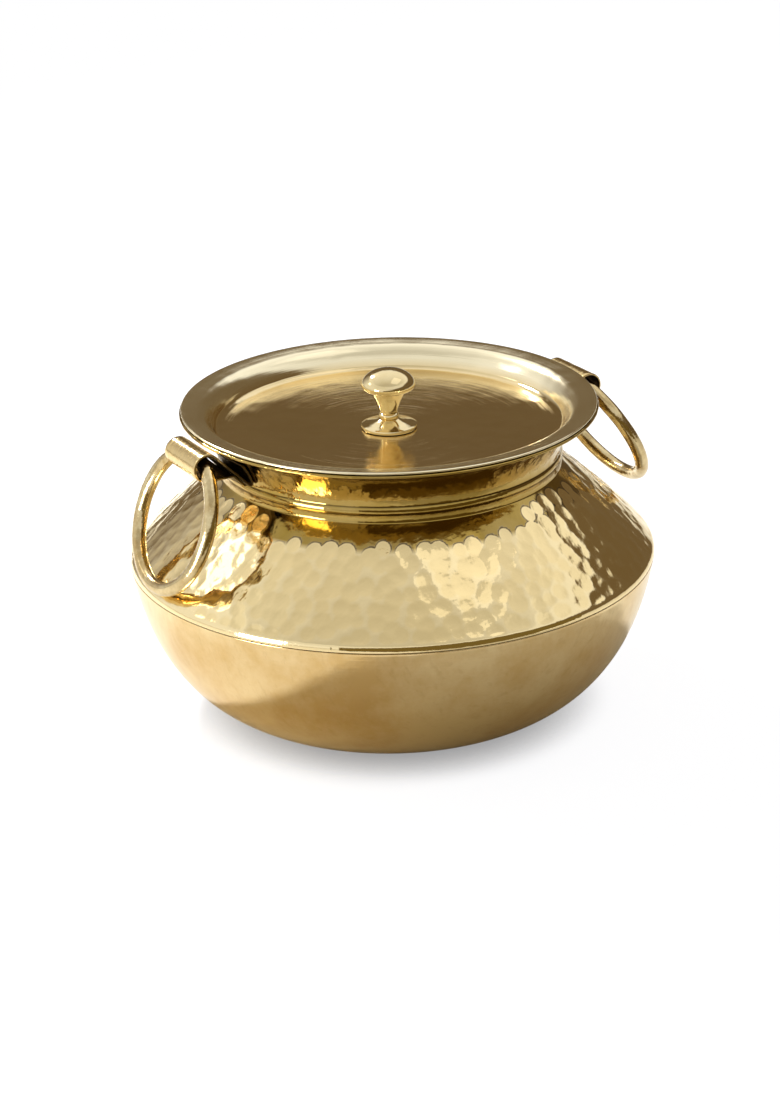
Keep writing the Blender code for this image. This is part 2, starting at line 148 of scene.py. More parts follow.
def new_material(name, piece):
    """An empty node material on a piece, with its Principled shader and its object coordinates."""
    material = bpy.data.materials.new(name)
    material.use_nodes = True
    piece.data.materials.clear()
    piece.data.materials.append(material)
    shader = material.node_tree.nodes["Principled BSDF"]
    shader.inputs["Metallic"].default_value = 1
    place = add_node(material, "ShaderNodeTexCoord", {}).outputs["Object"]
    return material, shader, place


def join_surface(material, shader, colour, gloss, bump):
    """Joins a material's colour, gloss and bump to its shader."""
    for socket, output in (("Base Color", colour), ("Roughness", gloss), ("Normal", bump)):
        material.node_tree.links.new(output, shader.inputs[socket])


lip_radius = BELLY_RADIUS - SHELL_WALL - SEAM_GAP
lip_top = BOWL_HEIGHT + LIP_HEIGHT
bowl_side = curve(BOWL_CURVE_SHARES, (FOOT_RADIUS, 0), (BELLY_RADIUS, BOWL_HEIGHT), BOWL_SIDE_STEPS)
seam_corner = (BELLY_RADIUS - SEAM_EDGE_ROUND, BOWL_HEIGHT - SEAM_EDGE_ROUND)
bowl_inside = sideways([Vector((0, 0))] + bowl_side, BOWL_WALL)
bowl_outline = (
    [Vector((0, 0)), Vector((FOOT_RADIUS / 2, 0))]
    + [point for point in bowl_side if point.y < seam_corner[1]]
    + arc(seam_corner, SEAM_EDGE_ROUND, 0, math.pi / 2, SEAM_EDGE_STEPS)
    + [Vector((lip_radius, BOWL_HEIGHT)), Vector((lip_radius, lip_top))]
    + [Vector((lip_radius - BOWL_WALL, lip_top)), Vector((lip_radius - BOWL_WALL, BOWL_HEIGHT))]
    + [point for point in bowl_inside[1:] if point.y < BOWL_HEIGHT - LIP_JOGGLE][::-3]
    + [Vector((FOOT_RADIUS / 2, BOWL_WALL)), Vector((0, BOWL_WALL))]
)
bowl = turned_piece("spun_bowl", bowl_outline, BOWL_TURN_STEPS)

# Buffed spun brass: warm yellow, with fine level rings, faint stains and a few stray rubs.
# The rings are about 0.3 mm apart on the pot and are drawn three times as coarse, so they show.
brass, shader, place = new_material("buffed_spun_brass", bowl)
rings_place = add_node(brass, "ShaderNodeMapping", {"Vector": place, "Scale": (4, 4, 1000)})
rings = add_node(brass, "ShaderNodeTexNoise", {
    "Vector": rings_place.outputs[0], "Scale": 1.0, "Detail": 3.0, "Roughness": 0.6,
})
clouds = add_node(brass, "ShaderNodeTexNoise", {
    "Vector": place, "Scale": 28.0, "Detail": 4.0, "Roughness": 0.55,
})
stains = add_node(brass, "ShaderNodeTexNoise", {
    "Vector": place, "Scale": 17.0, "Detail": 8.0, "Roughness": 0.68,
})
stained = add_node(brass, "ShaderNodeMapRange", {
    "Value": stains.outputs["Fac"], "From Min": 0.42, "From Max": 0.64,
})
rubs_place = add_node(brass, "ShaderNodeMapping", {
    "Vector": place, "Rotation": (0.5, 0.3, 0.7), "Scale": (160, 700, 160),
})
rubs = add_node(brass, "ShaderNodeTexNoise", {
    "Vector": rubs_place.outputs[0], "Scale": 1.0, "Detail": 2.0, "Roughness": 0.5,
})
tone = add_node(brass, "ShaderNodeMix", {
    0: stained.outputs[0], 6: linear("#EDD6A6"), 7: linear("#DAB97E"),
}, data_type="RGBA")
dulled = add_node(brass, "ShaderNodeMapRange", {
    "Value": rubs.outputs["Fac"], "From Min": 0.58, "From Max": 0.72, "To Max": 0.22,
})
streaked = add_node(brass, "ShaderNodeMix", {
    0: dulled.outputs[0], 6: tone.outputs[2], 7: linear("#C9A771"),
}, data_type="RGBA")
gloss = add_node(brass, "ShaderNodeMapRange", {
    "Value": clouds.outputs["Fac"], "From Min": 0.3, "From Max": 0.7,
    "To Min": 0.09, "To Max": 0.14,
})
ring_marks = add_node(brass, "ShaderNodeBump", {
    "Strength": 0.10, "Distance": 0.0004, "Height": rings.outputs["Fac"],
})
soft_waves = add_node(brass, "ShaderNodeBump", {
    "Strength": 0.12, "Distance": 0.004, "Height": clouds.outputs["Fac"],
    "Normal": ring_marks.outputs[0],
})
join_surface(brass, shader, streaked.outputs[2], gloss.outputs[0], soft_waves.outputs[0])

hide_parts("lower_bowl")
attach(bowl, "pot")


# The shoulder: a second spun shell, 1.4 mm thick, lapped over the bowl's lip and brazed there.
# Its cone is planished all over with a round-faced hammer, in rows of overlapping marks. Above it
# the neck turns up, carries one rolled bead, and flares out to a rounded rim.
SKIRT_HEIGHT = 0.0010
SKIRT_ROUND = 0.0038
SHOULDER_START_SLOPE = math.radians(50)
SHOULDER_END_SLOPE = math.radians(41.8)
SHOULDER_PULL_SHARE = 0.25
NECK_RADIUS = 0.0840
NECK_BASE_HEIGHT = 0.1253
NECK_FILLET = 0.0012
BEAD_HEIGHT = 0.1306
BEAD_WIDTH = 0.0040
BEAD_RISE = 0.0008
FLARE_START_HEIGHT = 0.1332
RIM_RADIUS = 0.1023
RIM_HEIGHT = 0.1547
RIM_LIP_WIDTH = 0.0028
RIM_SLOPE = math.radians(7)
FLARE_CURVE_SHARES = ((0.0, 0.0), (0.02, 0.28), (0.42, 0.93), (1.0, 1.0))
SKIRT_STEPS = 5
FILLET_STEPS = 8
BEAD_STEPS = 8
FLARE_STEPS = 18
RIM_STEPS = 8
SHOULDER_TURN_STEPS = 720
CONE_ROWS = 50
HAMMER_ROW_PITCH = 0.0076
HAMMER_STEP = 0.0086
HAMMER_FACE_RADIUS = 0.052
HAMMER_DEPTH = 0.00026
HAMMER_FADE = 0.0015
HAMMER_JITTER_SHARE = 0.23
HAMMER_TILT_SHARE = 0.044
HAMMER_SEED = 7
SMOOTH_BAND_WIDTH = 0.0125
SMOOTH_BAND_MIDDLE = math.radians(-119.5)

skirt_top = BOWL_HEIGHT + SEAM_GAP + SKIRT_HEIGHT
seam_corner = (BELLY_RADIUS - SEAM_EDGE_ROUND, BOWL_HEIGHT + SEAM_GAP + SEAM_EDGE_ROUND)
skirt_edge = arc(seam_corner, SEAM_EDGE_ROUND, -math.pi / 2, 0, SEAM_EDGE_STEPS)
skirt_centre = (BELLY_RADIUS - SKIRT_ROUND, skirt_top)
skirt = arc(skirt_centre, SKIRT_ROUND, 0, math.pi / 2 - SHOULDER_START_SLOPE, SKIRT_STEPS)
fillet_centre = (NECK_RADIUS + NECK_FILLET, NECK_BASE_HEIGHT)
fillet_start = 3 * math.pi / 2 - SHOULDER_END_SLOPE
fillet = arc(fillet_centre, NECK_FILLET, fillet_start, math.pi, FILLET_STEPS)
pull = (fillet[0] - skirt[-1]).length * SHOULDER_PULL_SHARE
leave = skirt[-1] + pull * Vector((-math.cos(SHOULDER_START_SLOPE), math.sin(SHOULDER_START_SLOPE)))
arrive = fillet[0] + pull * Vector((math.cos(SHOULDER_END_SLOPE), -math.sin(SHOULDER_END_SLOPE)))
cone_points = [Vector((*point, 0)) for point in (skirt[-1], leave, arrive, fillet[0])]
cone = [point.xy for point in interpolate_bezier(*cone_points, CONE_ROWS + 1)]
bead_radius = ((BEAD_WIDTH / 2) ** 2 + BEAD_RISE**2) / (2 * BEAD_RISE)
bead_reach = math.asin(BEAD_WIDTH / 2 / bead_radius)
bead_centre = (NECK_RADIUS + BEAD_RISE - bead_radius, BEAD_HEIGHT)
bead = arc(bead_centre, bead_radius, -bead_reach, bead_reach, BEAD_STEPS)
lip_drop = RIM_LIP_WIDTH * math.tan(RIM_SLOPE)
lip_start = (RIM_RADIUS - RIM_LIP_WIDTH, RIM_HEIGHT - SHELL_WALL - lip_drop)
flare = curve(FLARE_CURVE_SHARES, (NECK_RADIUS, FLARE_START_HEIGHT), lip_start, FLARE_STEPS)
rim_centre = (RIM_RADIUS - SHELL_WALL / 2, RIM_HEIGHT - SHELL_WALL / 2)
rim = arc(rim_centre, SHELL_WALL / 2, -math.pi / 2, math.pi / 2, RIM_STEPS)
inner_path = [Vector((BELLY_RADIUS, BOWL_HEIGHT + SEAM_GAP))] + skirt[::2] + cone[10:-1:10]
inner_path = inner_path + fillet[::4] + flare[::3] + rim[:1]
shoulder_inside = sideways(inner_path, SHELL_WALL)
shoulder_outline = skirt_edge + skirt + cone[1:-1] + fillet + bead + flare + rim
shoulder_outline = shoulder_outline + shoulder_inside[-2::-1]
shoulder = turned_piece("hammered_shoulder", shoulder_outline, SHOULDER_TURN_STEPS, closed=True)


def hammer_marks(path):
    """The middle of every mark, row by row up the cone, each with its own tilt and depth. Marks
    are left out of the smooth band below the neck, which is widest between the handles."""
    lengths = [0]
    for here, there in zip(path, path[1:]):
        lengths.append(lengths[-1] + (there - here).length)
    dice = random.Random(HAMMER_SEED)
    row_count = round(lengths[-1] / HAMMER_ROW_PITCH)
    marks = []
    for row in range(row_count + 1):
        along = HAMMER_ROW_PITCH / 2 + row * (lengths[-1] - HAMMER_ROW_PITCH / 2) / row_count
        turn = dice.random() * math.tau
        here = min(range(len(lengths)), key=lambda i: abs(lengths[i] - along))
        around = round(math.tau * path[here].x / HAMMER_STEP)
        for i in range(around):
            angle = turn + math.tau * (i + dice.uniform(-1, 1) * HAMMER_JITTER_SHARE) / around
            reach = along + dice.uniform(-1, 1) * HAMMER_JITTER_SHARE * HAMMER_ROW_PITCH
            share = (1 + math.cos(2 * (angle - SMOOTH_BAND_MIDDLE))) / 2
            if along > lengths[-1] - SMOOTH_BAND_WIDTH * share:
                continue
            index = min(range(len(lengths)), key=lambda k: abs(lengths[k] - reach))
            radius, height = path[index]
            run = path[min(index + 1, len(path) - 1)] - path[max(index - 1, 0)]
            run.normalize()
            middle = (radius * math.cos(angle), radius * math.sin(angle), height)
            out = Vector((run.y * math.cos(angle), run.y * math.sin(angle), -run.x))
            out += Vector([dice.uniform(-1, 1) * HAMMER_TILT_SHARE for _ in range(3)])
            marks.append((*middle, *out.normalized(), HAMMER_DEPTH * dice.uniform(0.65, 1.25)))
    return np.array(marks)


def planish(piece, path, marked):
    """Presses the marks into the outer face of the cone, and keeps each point's depth for the
    material, where 1 is the bright ridge between the marks."""
    marks = hammer_marks(marked)
    middles, outs, depths = marks[:, :3], marks[:, 3:6], marks[:, 6]
    places = np.empty(3 * len(piece.data.vertices))
    piece.data.vertices.foreach_get("co", places)
    places = places.reshape(-1, 3)
    radii = np.hypot(places[:, 0], places[:, 1])
    ridges = np.ones(len(places))
    for i in range(1, len(path) - 1):
        off = abs(radii - path[i].x) + abs(places[:, 2] - path[i].y)
        row = np.flatnonzero(off < 2 * MERGE_DISTANCE)
        run = (path[i + 1] - path[i - 1]).normalized()
        turns = places[row, :2] / radii[row, None]
        normals = np.column_stack((turns * run.y, np.full(len(row), -run.x)))
        away = places[row, None] - middles
        rise = (away * outs).sum(2)
        across = np.sqrt(np.maximum((away**2).sum(2) - rise**2, 0))
        face = across**2 / (2 * HAMMER_FACE_RADIUS) - depths
        share = min((path[i] - path[0]).length, (path[i] - path[-1]).length) / HAMMER_FADE
        lowest = np.minimum((face - rise).min(1), 0) * min(share, 1)
        ridges[row] = 1 + np.maximum(lowest / HAMMER_DEPTH, -1)
        places[row] += normals * lowest[:, None]
    piece.data.vertices.foreach_set("co", places.ravel())
    piece.data.attributes.new("ridge", "FLOAT", "POINT").data.foreach_set("value", ridges)
    piece.data.update()


planish(shoulder, cone, cone[:-1])

# Planished and polished brass: bright, slightly greener than the bowl, with paler ridges between
# the marks and hairline scratches. The neck and the smooth band below it are a darker gold, and
# thin lines of painted shade run along the bead's edges and round the uppermost marks, where the
# band ends in scallops.
brass, shader, place = new_material("planished_polished_brass", shoulder)
clouds = add_node(brass, "ShaderNodeTexNoise", {
    "Vector": place, "Scale": 34.0, "Detail": 4.0, "Roughness": 0.55,
})
ridge = add_node(brass, "ShaderNodeAttribute", {}, attribute_name="ridge")
hair_place = add_node(brass, "ShaderNodeMapping", {
    "Vector": place, "Rotation": (0.4, 0.9, 0.3), "Scale": (90, 900, 90),
})
hairs = add_node(brass, "ShaderNodeTexNoise", {
    "Vector": hair_place.outputs[0], "Scale": 1.0, "Detail": 2.0, "Roughness": 0.5,
})
split = add_node(brass, "ShaderNodeSeparateXYZ", {"Vector": place})
tone = add_node(brass, "ShaderNodeMix", {
    0: clouds.outputs["Fac"], 6: linear("#F4DFAB"), 7: linear("#EED59C"),
}, data_type="RGBA")
polish = add_node(brass, "ShaderNodeMapRange", {
    "Value": ridge.outputs["Fac"], "From Min": 0.55, "From Max": 1.0, "To Max": 0.3,
})
ridged = add_node(brass, "ShaderNodeMix", {
    0: polish.outputs[0], 6: tone.outputs[2], 7: linear("#FBECC4"),
}, data_type="RGBA")
unmarked = add_node(brass, "ShaderNodeMapRange", {
    "Value": ridge.outputs["Fac"], "From Min": 0.94, "From Max": 0.99,
})
up_neck = add_node(brass, "ShaderNodeMapRange", {
    "Value": split.outputs["Z"], "From Min": 0.1140, "From Max": 0.1160, "To Max": 0.97,
})
smooth_band = add_node(brass, "ShaderNodeMath", {
    0: unmarked.outputs[0], 1: up_neck.outputs[0],
}, operation="MULTIPLY")
patches = add_node(brass, "ShaderNodeMapRange", {
    "Value": clouds.outputs["Fac"], "From Min": 0.35, "From Max": 0.65, "To Min": 0.86,
})
# The neck and the smooth band are mixed towards a darker gold, more in some patches than others.
neck_darkening = add_node(brass, "ShaderNodeMath", {
    0: smooth_band.outputs[0], 1: patches.outputs[0],
}, operation="MULTIPLY")
finish = add_node(brass, "ShaderNodeMix", {
    0: neck_darkening.outputs[0], 6: ridged.outputs[2], 7: linear("#9F8338"),
}, data_type="RGBA")
gloss = add_node(brass, "ShaderNodeMapRange", {
    "Value": clouds.outputs["Fac"], "From Min": 0.3, "From Max": 0.7,
    "To Min": 0.07, "To Max": 0.13,
})
# Painted shade: a thin dark line along each edge of the bead.
from_bead = add_node(brass, "ShaderNodeMath", {
    0: split.outputs["Z"], 1: BEAD_HEIGHT,
}, operation="SUBTRACT")
up_or_down = add_node(brass, "ShaderNodeMath", {0: from_bead.outputs[0]}, operation="ABSOLUTE")
from_edge = add_node(brass, "ShaderNodeMath", {
    0: up_or_down.outputs[0], 1: BEAD_WIDTH / 2,
}, operation="SUBTRACT")
near_edge = add_node(brass, "ShaderNodeMath", {0: from_edge.outputs[0]}, operation="ABSOLUTE")
bead_edge_shade = add_node(brass, "ShaderNodeMapRange", {
    "Value": near_edge.outputs[0], "From Min": 0.0, "From Max": 0.0005,
    "To Min": 0.85, "To Max": 0.0,
})
bead_edge_shaded = add_node(brass, "ShaderNodeMix", {
    0: bead_edge_shade.outputs[0], 6: finish.outputs[2], 7: linear("#4A3514"),
}, data_type="RGBA")
# Painted shade: a thin dark line round the rim of each of the uppermost marks, where the smooth
# band ends in scallops.
inner_side = add_node(brass, "ShaderNodeMapRange", {
    "Value": ridge.outputs["Fac"], "From Min": 0.72, "From Max": 0.86,
})
outer_side = add_node(brass, "ShaderNodeMapRange", {
    "Value": ridge.outputs["Fac"], "From Min": 0.995, "From Max": 0.93, "To Max": 0.9,
})
rim_of_mark = add_node(brass, "ShaderNodeMath", {
    0: inner_side.outputs[0], 1: outer_side.outputs[0],
}, operation="MULTIPLY")
top_row = add_node(brass, "ShaderNodeMath", {
    0: rim_of_mark.outputs[0], 1: up_neck.outputs[0],
}, operation="MULTIPLY")
scallop_shade = add_node(brass, "ShaderNodeMix", {
    0: top_row.outputs[0], 6: bead_edge_shaded.outputs[2], 7: linear("#4A3514"),
}, data_type="RGBA")
hair_marks = add_node(brass, "ShaderNodeBump", {
    "Strength": 0.06, "Distance": 0.0004, "Height": hairs.outputs["Fac"],
})
soft_waves = add_node(brass, "ShaderNodeBump", {
    "Strength": 0.25, "Distance": 0.003, "Height": clouds.outputs["Fac"],
    "Normal": hair_marks.outputs[0],
})
neck_place = add_node(brass, "ShaderNodeMapping", {"Vector": place, "Scale": (110, 110, 22)})
neck_waves = add_node(brass, "ShaderNodeTexNoise", {
    "Vector": neck_place.outputs[0], "Scale": 1.0, "Detail": 3.0, "Roughness": 0.5,
})
on_neck = add_node(brass, "ShaderNodeMapRange", {
    "Value": split.outputs["Z"], "From Min": 0.1290, "From Max": 0.1340,
    "To Min": 0.12, "To Max": 0.4,
})
neck_marks = add_node(brass, "ShaderNodeBump", {
    "Strength": on_neck.outputs[0], "Distance": 0.002, "Height": neck_waves.outputs["Fac"],
    "Normal": soft_waves.outputs[0],
})
join_surface(brass, shader, scallop_shade.outputs[2], gloss.outputs[0], neck_marks.outputs[0])

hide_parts("shoulder")
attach(shoulder, "pot")


# The two handle straps: strips of 1 mm brass sheet, 31.5 mm wide, each folded under itself and
# rolled round the ring's rod. The inner end lies flat on the neck and is brazed there, the upper
# leaf runs up under the rim to the rolled eye, and the cut end tucks back below it.
STRAP_WIDTH = 0.0315
STRAP_SHEET = 0.0010
EYE_BORE_RADIUS = 0.0060
EYE_CENTRE_RADIUS = 0.1070
EYE_CENTRE_HEIGHT = 0.1473
TAB_TOP_HEIGHT = 0.1460
FOLD_HEIGHT = 0.1357
FOLD_RADIUS = 0.0008
LEAF_GAP = 0.00035
LEAF_END_HEIGHT = 0.1348
KNEE_RADIUS = 0.0015
NECK_TRACE_STEPS = 48
FOLD_STEPS = 10
EYE_STEPS = 40
KNEE_STEPS = 6
STRAP_STEPS = 24
STRAP_EDGE_ROUND = 0.0003

neck_foot = (NECK_RADIUS, FLARE_START_HEIGHT)
neck_profile = curve(FLARE_CURVE_SHARES, neck_foot, lip_start, NECK_TRACE_STEPS)
tab = [point for point in neck_profile if FOLD_HEIGHT < point.y < TAB_TOP_HEIGHT][::-2]
fold_foot = min(neck_profile, key=lambda point: abs(point.y - FOLD_HEIGHT))
tab = sideways(tab + [fold_foot], SEAM_GAP + STRAP_SHEET / 2)
up_tab = (tab[-2] - tab[-1]).normalized()
fold_centre = tab[-1] + Vector((up_tab.y, -up_tab.x)) * FOLD_RADIUS
eye_centre = Vector((EYE_CENTRE_RADIUS, EYE_CENTRE_HEIGHT))
eye_radius = EYE_BORE_RADIUS + STRAP_SHEET / 2
to_eye = eye_centre - fold_centre
leaf_slope = math.atan2(to_eye.y, to_eye.x)
leaf_slope = leaf_slope + math.asin((FOLD_RADIUS + eye_radius) / to_eye.length)
fold_start = math.atan2(up_tab.x, -up_tab.y) % math.tau
fold = arc(fold_centre, FOLD_RADIUS, fold_start, leaf_slope + 3 * math.pi / 2, FOLD_STEPS)
eye = arc(eye_centre, eye_radius, leaf_slope + math.pi / 2, -math.pi / 2, EYE_STEPS)
leaf_down = Vector((math.sin(leaf_slope), -math.cos(leaf_slope)))
lower_start = eye[0] + leaf_down * (STRAP_SHEET + LEAF_GAP)
knee_x = lower_start.x - (lower_start.y - eye[-1].y) / math.tan(leaf_slope)
end_x = lower_start.x - (lower_start.y - LEAF_END_HEIGHT) / math.tan(leaf_slope)
knee_setback = KNEE_RADIUS * math.tan(leaf_slope / 2)
knee_centre = (knee_x + knee_setback, eye[-1].y - KNEE_RADIUS)
knee = arc(knee_centre, KNEE_RADIUS, math.pi / 2, math.pi / 2 + leaf_slope, KNEE_STEPS)
upper_leaf = [fold[-1].lerp(eye[0], i / 6) for i in range(1, 6)]
lower_leaf = [knee[-1].lerp(Vector((end_x, LEAF_END_HEIGHT)), i / 3) for i in range(1, 4)]
under_eye = [eye[-1].lerp(knee[0], i / 4) for i in range(1, 4)]
strap_line = tab + fold[1:] + upper_leaf + eye + under_eye + knee + lower_leaf


def folded_strap(name, side):
    """Draws the strip seen from its edge, extrudes it across, bows it to the neck, and gives it
    its thickness and rounded edges. side is 1 for the right handle and -1 for the left."""
    strap = drawn_outline(name, strap_line, closed=False)
    step = (0, STRAP_WIDTH / STRAP_STEPS, 0)
    bpy.ops.transform.translate(value=(0, -STRAP_WIDTH / 2, 0))
    for _ in range(STRAP_STEPS):
        bpy.ops.mesh.extrude_region_move(TRANSFORM_OT_translate={"value": step})
    bpy.ops.mesh.select_all(action="SELECT")
    bpy.ops.mesh.remove_doubles(threshold=MERGE_DISTANCE)
    bpy.ops.mesh.normals_make_consistent(inside=False)
    bpy.ops.object.mode_set(mode="OBJECT")
    straight_from = EYE_CENTRE_RADIUS - EYE_BORE_RADIUS - STRAP_SHEET
    bowed_to = min(point.x for point in strap_line)
    for vert in strap.data.vertices:
        share = min(max((straight_from - vert.co.x) / (straight_from - bowed_to), 0), 1)
        drop = vert.co.x - math.sqrt(vert.co.x**2 - vert.co.y**2)
        vert.co.x -= drop * share
        vert.co.x *= side
        vert.co.y *= side
    sheet = strap.modifiers.new("sheet", "SOLIDIFY")
    sheet.thickness = STRAP_SHEET
    sheet.offset = 0
    sheet.use_even_offset = True
    bpy.ops.object.modifier_apply(modifier="sheet")
    soft = strap.modifiers.new("soft_edges", "BEVEL")
    soft.width = STRAP_EDGE_ROUND
    soft.segments = 2
    soft.limit_method = "ANGLE"
    soft.angle_limit = math.radians(50)
    bpy.ops.object.modifier_apply(modifier="soft_edges")
    bpy.ops.object.mode_set(mode="EDIT")
    bpy.ops.mesh.select_all(action="SELECT")
    bpy.ops.mesh.normals_make_consistent(inside=False)
    bpy.ops.object.mode_set(mode="OBJECT")
    bpy.ops.object.shade_smooth_by_angle(angle=SHARP_ANGLE)
    return strap


strap_right = folded_strap("folded_strap_right", 1)
strap_left = folded_strap("folded_strap_left", -1)

# Hand-polished brass sheet, bright, with short file and polishing marks along the strip. Inside
# the roll and along the leaf and fold under the rim it carries painted shade, dark brown, and is
# rougher there.
brass, shader, place = new_material("polished_strip_brass", strap_right)
clouds = add_node(brass, "ShaderNodeTexNoise", {
    "Vector": place, "Scale": 90.0, "Detail": 4.0, "Roughness": 0.6,
})
file_place = add_node(brass, "ShaderNodeMapping", {"Vector": place, "Scale": (120, 1400, 120)})
file_marks = add_node(brass, "ShaderNodeTexNoise", {
    "Vector": file_place.outputs[0], "Scale": 1.0, "Detail": 2.0, "Roughness": 0.5,
})
tone = add_node(brass, "ShaderNodeMix", {
    0: clouds.outputs["Fac"], 6: linear("#E8D29E"), 7: linear("#D4B577"),
}, data_type="RGBA")
split = add_node(brass, "ShaderNodeSeparateXYZ", {"Vector": place})
side_reach = add_node(brass, "ShaderNodeMath", {0: split.outputs["X"]}, operation="ABSOLUTE")
flat_place = add_node(brass, "ShaderNodeCombineXYZ", {
    "X": side_reach.outputs[0], "Z": split.outputs["Z"],
})
from_eye = add_node(brass, "ShaderNodeVectorMath", {
    0: flat_place.outputs[0], 1: (EYE_CENTRE_RADIUS, 0, EYE_CENTRE_HEIGHT),
}, operation="DISTANCE")
# Painted shade inside the roll and under the rim. The same mask also makes the sheet rougher there.
inside_roll = add_node(brass, "ShaderNodeMapRange", {
    "Value": from_eye.outputs["Value"], "From Min": 0.0065, "From Max": 0.0061, "To Max": 0.95,
})
under_rim = add_node(brass, "ShaderNodeMapRange", {
    "Value": side_reach.outputs[0], "From Min": 0.1000, "From Max": 0.0970, "To Max": 0.85,
})
shade_and_dull = add_node(brass, "ShaderNodeMath", {
    0: inside_roll.outputs[0], 1: under_rim.outputs[0],
}, operation="MAXIMUM")
painted_shade_tone = add_node(brass, "ShaderNodeMix", {
    0: shade_and_dull.outputs[0], 6: tone.outputs[2], 7: linear("#43331C"),
}, data_type="RGBA")
gloss = add_node(brass, "ShaderNodeMapRange", {
    "Value": shade_and_dull.outputs[0], "To Min": 0.14, "To Max": 0.45,
})
marks = add_node(brass, "ShaderNodeBump", {
    "Strength": 0.12, "Distance": 0.0004, "Height": file_marks.outputs["Fac"],
})
dents = add_node(brass, "ShaderNodeBump", {
    "Strength": 0.35, "Distance": 0.002, "Height": clouds.outputs["Fac"],
    "Normal": marks.outputs[0],
})
join_surface(brass, shader, painted_shade_tone.outputs[2], gloss.outputs[0], dents.outputs[0])
strap_left.data.materials.append(brass)

for strap, node in ((strap_right, "handle_strap_right"), (strap_left, "handle_strap_left")):
    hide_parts(node)
    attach(strap, "pot")


# The two ring handles: 7 mm brass rod bent into a 73 mm ring, its ends butted and soldered
# inside the strap. The left ring lies on the shoulder and the right one stands off it a little.
RING_RADIUS = 0.0330
ROD_RADIUS = 0.00345
RING_PLAY = 0.0002
RING_HANG = RING_RADIUS - (EYE_BORE_RADIUS - ROD_RADIUS - RING_PLAY)
LEFT_RING_LEAN = math.radians(21.24)
RIGHT_RING_LEAN = math.radians(29.74)
RING_STEPS = 192
ROD_STEPS = 32
ROD_UNEVEN = 0.00007
RING_SEED = 3


def bent_ring(name, side, lean):
    """A torus stood on edge, made a little uneven as hand-bent rod is, hung from the eye's middle
    and leant outward. side is 1 for the right handle and -1 for the left."""
    bpy.ops.object.select_all(action="DESELECT")
    bpy.ops.mesh.primitive_torus_add(
        major_radius=RING_RADIUS, minor_radius=ROD_RADIUS,
        major_segments=RING_STEPS, minor_segments=ROD_STEPS,
    )
    ring = bpy.context.object
    ring.name = name
    dice = random.Random(RING_SEED + side)
    waves = [
        (n, dice.uniform(0, math.tau), dice.uniform(0.2, 1) / math.sqrt(n)) for n in range(3, 14)
    ]
    for vert in ring.data.vertices:
        turn = math.atan2(vert.co.y, vert.co.x)
        middle = Vector((math.cos(turn), math.sin(turn), 0)) * RING_RADIUS
        swell = sum(size * math.sin(n * turn + phase) for n, phase, size in waves)
        round_rod = math.atan2(vert.co.z, math.hypot(vert.co.x, vert.co.y) - RING_RADIUS)
        swell *= math.cos(2 * round_rod + turn * 3)
        vert.co += (vert.co - middle).normalized() * swell * ROD_UNEVEN
    upright = Matrix.Rotation(math.pi / 2, 4, "Y")
    hang = Matrix.Translation((0, 0, -RING_HANG))
    leant = Matrix.Rotation(-lean, 4, "Y")
    turned = Matrix.Rotation(0 if side > 0 else math.pi, 4, "Z")
    seat = Matrix.Translation((side * EYE_CENTRE_RADIUS, 0, EYE_CENTRE_HEIGHT))
    ring.data.transform(seat @ turned @ leant @ hang @ upright)
    bpy.ops.object.shade_smooth()
    return ring


ring_right = bent_ring("bent_ring_right", 1, RIGHT_RING_LEAN)
ring_left = bent_ring("bent_ring_left", -1, LEFT_RING_LEAN)

# Rubbed brass rod: pale and silvery where hands and cloth have worn it, warmer between, with fine
# scratches that run every way.
brass, shader, place = new_material("rubbed_rod_brass", ring_right)
clouds = add_node(brass, "ShaderNodeTexNoise", {
    "Vector": place, "Scale": 110.0, "Detail": 4.0, "Roughness": 0.6,
})
scratches = add_node(brass, "ShaderNodeTexNoise", {
    "Vector": place, "Scale": 900.0, "Detail": 2.0, "Roughness": 0.6,
})
worn = add_node(brass, "ShaderNodeMapRange", {
    "Value": clouds.outputs["Fac"], "From Min": 0.30, "From Max": 0.75,
})
tone = add_node(brass, "ShaderNodeMix", {
    0: worn.outputs[0], 6: linear("#E2D1A6"), 7: linear("#B1935A"),
}, data_type="RGBA")
gloss = add_node(brass, "ShaderNodeMapRange", {
    "Value": clouds.outputs["Fac"], "From Min": 0.3, "From Max": 0.7,
    "To Min": 0.11, "To Max": 0.20,
})
marks = add_node(brass, "ShaderNodeBump", {
    "Strength": 0.10, "Distance": 0.0003, "Height": scratches.outputs["Fac"],
})
uneven = add_node(brass, "ShaderNodeBump", {
    "Strength": 0.2, "Distance": 0.002, "Height": clouds.outputs["Fac"],
    "Normal": marks.outputs[0],
})
join_surface(brass, shader, tone.outputs[2], gloss.outputs[0], uneven.outputs[0])
ring_left.data.materials.append(brass)

for ring, side in ((ring_right, "right"), (ring_left, "left")):
    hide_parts(f"ring_handle_{side}")
    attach(ring, f"ring_{side}")


# The lid: one disc of 1.2 mm brass sheet, sunk into a shallow dished tray that hangs inside the
# neck, with an S-shaped wall and a flat flange that rests on the rim. It is turned and then
# polished by hand, so its tray is a little wavy and holds faint rings.
LID_RADIUS = 0.1015
LID_SHEET = 0.0012
LID_SEAT_GAP = 0.0003
FLANGE_WIDTH = 0.0080
FLANGE_RISE = 0.0009
TRAY_RADIUS = 0.0848
TRAY_DEPTH = 0.0116
TRAY_SAG = 0.0022
TRAY_FOLD_RADIUS = 0.0012
TRAY_WALL_SHARES = ((0.0, 0.0), (0.16, 0.30), (0.42, 0.95), (1.0, 1.0))
SCREW_BORE = 0.0023
DISH_STEPS = 36
TRAY_WALL_STEPS = 20
LID_EDGE_STEPS = 8
LID_TURN_STEPS = 360

